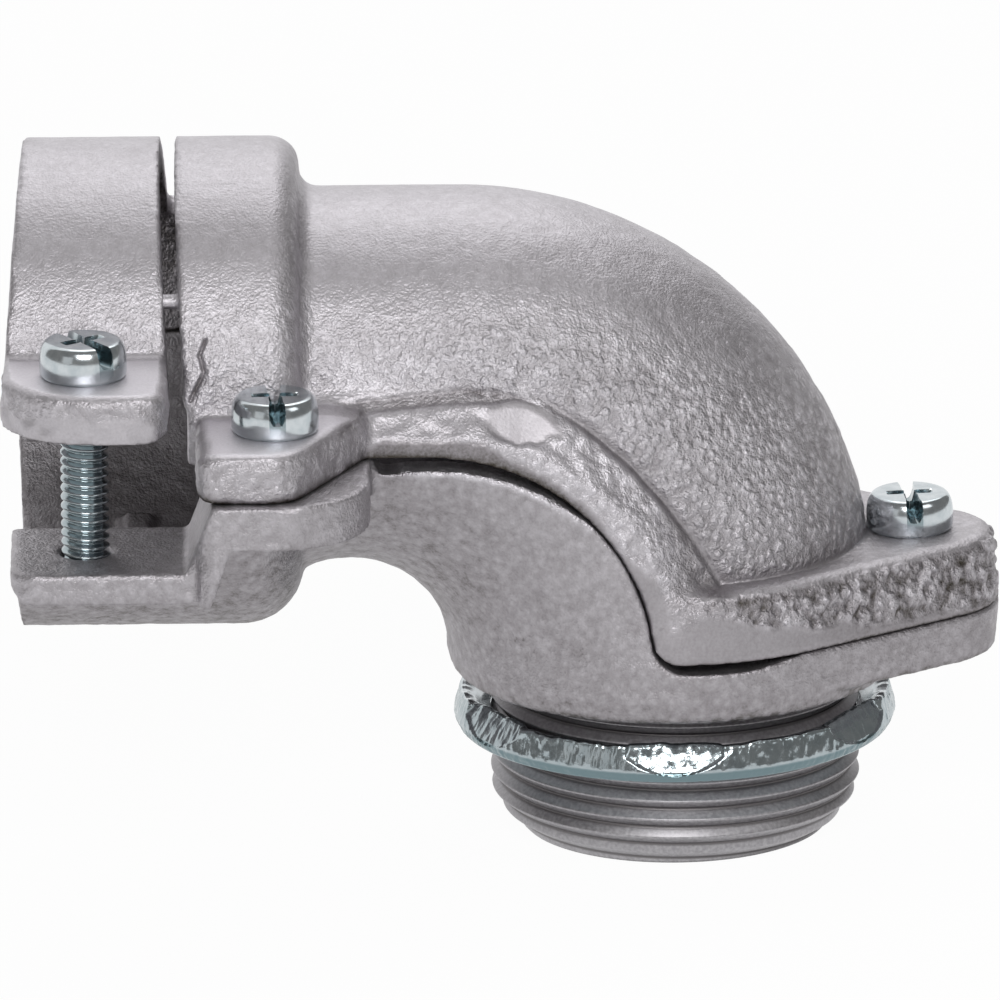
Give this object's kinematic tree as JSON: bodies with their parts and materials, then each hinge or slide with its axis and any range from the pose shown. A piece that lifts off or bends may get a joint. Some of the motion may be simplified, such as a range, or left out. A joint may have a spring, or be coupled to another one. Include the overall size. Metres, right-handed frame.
{
  "type": "angled squeeze connector",
  "caption": "Right-angle squeeze connector for flexible metal conduit: split cast elbow with clamp strap, threaded hub, locknut and binding-head screws.",
  "frame": {"origin": "hub axis in the plane of the hub shoulder, which seats on the box wall", "axes": "+Z away from the box wall along the hub axis, conduit enters along X from the -X side, screws stand on the -Y side"},
  "size_m": [0.113, 0.0716, 0.0804],
  "materials": {
    "cast_iron_zinc": "sand cast, zinc plated, matt grain",
    "zinc_steel": "bright zinc plate"
  },
  "bodies": {
    "castings": {"body_casting": "cast_iron_zinc", "cover_casting": "cast_iron_zinc"},
    "strap_screw": {"strap_screw": "zinc_steel"},
    "cover_screw": {"cover_screw": "zinc_steel"},
    "heel_screw": {"heel_screw": "zinc_steel"},
    "locknut": {"locknut": "zinc_steel"}
  },
  "joints": [
    {"name": "strap_screw_travel", "type": "slide", "parent": "castings", "child": "strap_screw", "axis": [0, 0, 1], "range_m": [0, 0.0037]},
    {"name": "cover_screw_travel", "type": "slide", "parent": "castings", "child": "cover_screw", "axis": [0, 0, 1], "range_m": [0, 0.0038]},
    {"name": "heel_screw_travel", "type": "slide", "parent": "castings", "child": "heel_screw", "axis": [0, 0, 1], "range_m": [0, 0.0044]},
    {"name": "locknut_travel", "type": "slide", "parent": "castings", "child": "locknut", "axis": [0, 0, 1], "range_m": [-0.0115, 0.0025]}
  ]
}
